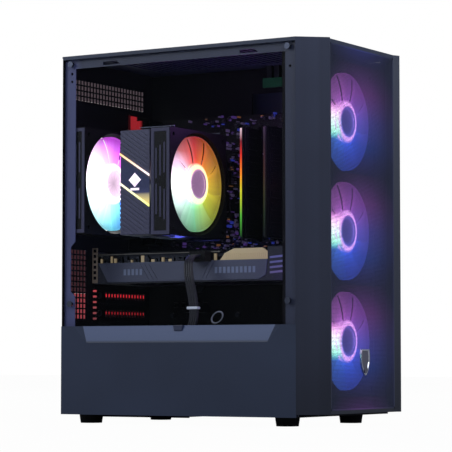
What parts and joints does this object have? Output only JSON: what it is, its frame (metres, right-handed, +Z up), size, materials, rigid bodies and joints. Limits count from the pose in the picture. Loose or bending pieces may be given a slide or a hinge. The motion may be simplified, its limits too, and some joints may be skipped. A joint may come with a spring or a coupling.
{
  "type": "desktop computer tower",
  "caption": "Compact tower computer with a faceted mesh front, clear side window, lit fans, tower cooler, graphics card and power supply under a shroud.",
  "frame": {"origin": "centre of the bounding box in plan, at the floor under the feet", "axes": "+Z up, -Y out of the mesh front, -X out of the window side"},
  "size_m": [0.212, 0.336, 0.412],
  "materials": {
    "dark_steel": "dark blue-black powder coat, faint sheen",
    "inner_steel": "black powder coat, fine grain",
    "frame_steel": "dark grey-blue powder coat",
    "bezel_plastic": "dark satin plastic, faint brushed bands",
    "mesh_steel": "black perforated sheet",
    "badge_metal": "satin silver with a dark inlay",
    "glass": "clear tempered glass",
    "screw_black": "black zinc",
    "screw_steel": "bright zinc",
    "foot_rubber": "dark matt rubber",
    "filter_plastic": "black frame with a woven dust screen",
    "fan_frame_plastic": "black glass-filled plastic",
    "front_fan_light": "milky translucent blades lit from the hub",
    "rear_fan_light": "milky translucent blades lit from the hub",
    "cooler_fan_light": "milky translucent blades lit from the hub",
    "plain_fan": "black plastic blades",
    "board_laminate": "black solder mask with traces",
    "heatsink_metal": "dark anodised fins",
    "board_part_plastic": "black sockets, slots and small parts",
    "memory_metal": "black anodised heat spreader",
    "memory_light": "milky diffuser lit red to green",
    "fin_metal": "bare bright fins",
    "pipe_copper": "nickel-tinted copper",
    "cooler_plate": "machined block",
    "cooler_cap": "dark ribbed cap",
    "cooler_light": "thin lit lines",
    "clip_wire": "spring wire",
    "card_laminate": "black laminate",
    "card_fins": "bright fins",
    "card_shell": "dark grey shell with lighter facets",
    "supply_steel": "black crinkle coat",
    "supply_parts": "tan laminate and wound parts",
    "inlet_plastic": "black socket plastic",
    "switch_plastic": "black rocker",
    "drive_steel": "black sheet",
    "caddy_plastic": "black plastic",
    "drive_metal": "cast and pressed shell",
    "green_laminate": "green laminate",
    "port_metal": "pressed shells",
    "button_plastic": "dark satin cap",
    "cable_sleeve": "black braided sleeve"
  },
  "bodies": {
    "chassis": {"feet": "foot_rubber", "base_pan": "inner_steel", "rear_panel": "inner_steel", "window_frame": "frame_steel", "lower_side_cover": "dark_steel", "front_fan_plate": "inner_steel", "motherboard_tray": "inner_steel", "psu_shroud": "inner_steel", "top_panel": "dark_steel", "case_fan_frames": "fan_frame_plastic", "motherboard": "board_laminate", "rear_ports": "port_metal", "board_heatsinks": "heatsink_metal", "board_parts": "board_part_plastic", "memory_modules": "memory_metal", "memory_light_bars": "memory_light", "cooler_heat_pipes": "pipe_copper", "cooler_base": "cooler_plate", "cooler_fins": "fin_metal", "cooler_cover": "cooler_cap", "cooler_light_strips": "cooler_light", "cooler_fan_frame": "fan_frame_plastic", "cooler_fan_clips": "clip_wire", "card_board": "card_laminate", "card_heatsink": "card_fins", "card_shroud": "card_shell", "card_bracket": "screw_steel", "slot_covers": "inner_steel", "chassis_screws": "screw_steel", "psu_case": "supply_steel", "psu_circuit": "supply_parts", "psu_inlet": "inlet_plastic", "drive_cage": "drive_steel", "drive_caddy": "caddy_plastic", "hard_drive": "drive_metal", "front_io_board": "green_laminate", "front_io_ports": "port_metal", "card_power_cable": "cable_sleeve", "board_power_cable": "cable_sleeve", "front_io_cable": "cable_sleeve"},
    "front_fan_1": {"front_fan_rotor_1": "front_fan_light"},
    "front_fan_2": {"front_fan_rotor_2": "front_fan_light"},
    "front_fan_3": {"front_fan_rotor_3": "front_fan_light"},
    "rear_fan": {"rear_fan_rotor": "rear_fan_light"},
    "cooler_fan": {"cooler_fan_rotor": "cooler_fan_light"},
    "card_fan_1": {"card_fan_rotor_1": "plain_fan"},
    "card_fan_2": {"card_fan_rotor_2": "plain_fan"},
    "supply_fan": {"psu_fan_rotor": "plain_fan"},
    "power_button_cap": {"power_button": "button_plastic"},
    "reset_button_cap": {"reset_button": "button_plastic"},
    "supply_switch": {"power_switch": "switch_plastic"},
    "front_panel": {"front_bezel": "bezel_plastic", "front_mesh": "mesh_steel", "front_badge": "badge_metal"},
    "glass_panel": {"side_glass": "glass", "glass_screws": "screw_black"},
    "right_panel": {"right_side_panel": "dark_steel", "panel_thumbscrews": "screw_black"},
    "roof_filter": {"top_filter": "filter_plastic"},
    "floor_filter": {"bottom_filter": "filter_plastic"}
  },
  "joints": [
    {"name": "front_fan_1_spin", "type": "hinge", "parent": "chassis", "child": "front_fan_1", "pos_m": [0, -0.133, 0.331], "axis": [0, 1, 0], "continuous": true},
    {"name": "front_fan_2_spin", "type": "hinge", "parent": "chassis", "child": "front_fan_2", "pos_m": [0, -0.133, 0.211], "axis": [0, 1, 0], "continuous": true},
    {"name": "front_fan_3_spin", "type": "hinge", "parent": "chassis", "child": "front_fan_3", "pos_m": [0, -0.133, 0.091], "axis": [0, 1, 0], "continuous": true},
    {"name": "rear_fan_spin", "type": "hinge", "parent": "chassis", "child": "rear_fan", "pos_m": [-0.038, 0.149, 0.272], "axis": [0, 1, 0], "continuous": true},
    {"name": "cooler_fan_spin", "type": "hinge", "parent": "chassis", "child": "cooler_fan", "pos_m": [-0.026, 0.043, 0.268], "axis": [0, 1, 0], "continuous": true},
    {"name": "card_fan_1_spin", "type": "hinge", "parent": "chassis", "child": "card_fan_1", "pos_m": [0.005, 0.0905, 0.165], "axis": [0, 0, 1], "continuous": true},
    {"name": "card_fan_2_spin", "type": "hinge", "parent": "chassis", "child": "card_fan_2", "pos_m": [0.005, -0.0075, 0.165], "axis": [0, 0, 1], "continuous": true},
    {"name": "supply_fan_spin", "type": "hinge", "parent": "chassis", "child": "supply_fan", "pos_m": [0, 0.091, 0.025], "axis": [0, 0, 1], "continuous": true},
    {"name": "power_button_press", "type": "slide", "parent": "chassis", "child": "power_button_cap", "axis": [0, 0, -1], "range_m": [0, 0.0015], "stiffness_N_per_m": 400, "springref_m": -0.001},
    {"name": "reset_button_press", "type": "slide", "parent": "chassis", "child": "reset_button_cap", "axis": [0, 0, -1], "range_m": [0, 0.0015], "stiffness_N_per_m": 400, "springref_m": -0.001},
    {"name": "supply_switch_rock", "type": "hinge", "parent": "chassis", "child": "supply_switch", "pos_m": [0.049, 0.158, 0.0632], "axis": [1, 0, 0], "range_deg": [-7, 7]},
    {"name": "front_panel_pull", "type": "slide", "parent": "chassis", "child": "front_panel", "axis": [0, -1, 0], "range_m": [0, 0.03]},
    {"name": "glass_panel_lift_off", "type": "slide", "parent": "chassis", "child": "glass_panel", "axis": [-1, 0, 0], "range_m": [0, 0.06]},
    {"name": "right_panel_slide", "type": "slide", "parent": "chassis", "child": "right_panel", "axis": [0, 1, 0], "range_m": [0, 0.025]},
    {"name": "roof_filter_lift", "type": "slide", "parent": "chassis", "child": "roof_filter", "axis": [0, 0, 1], "range_m": [0, 0.04]},
    {"name": "floor_filter_slide", "type": "slide", "parent": "chassis", "child": "floor_filter", "axis": [0, 1, 0], "range_m": [0, 0.12]}
  ]
}
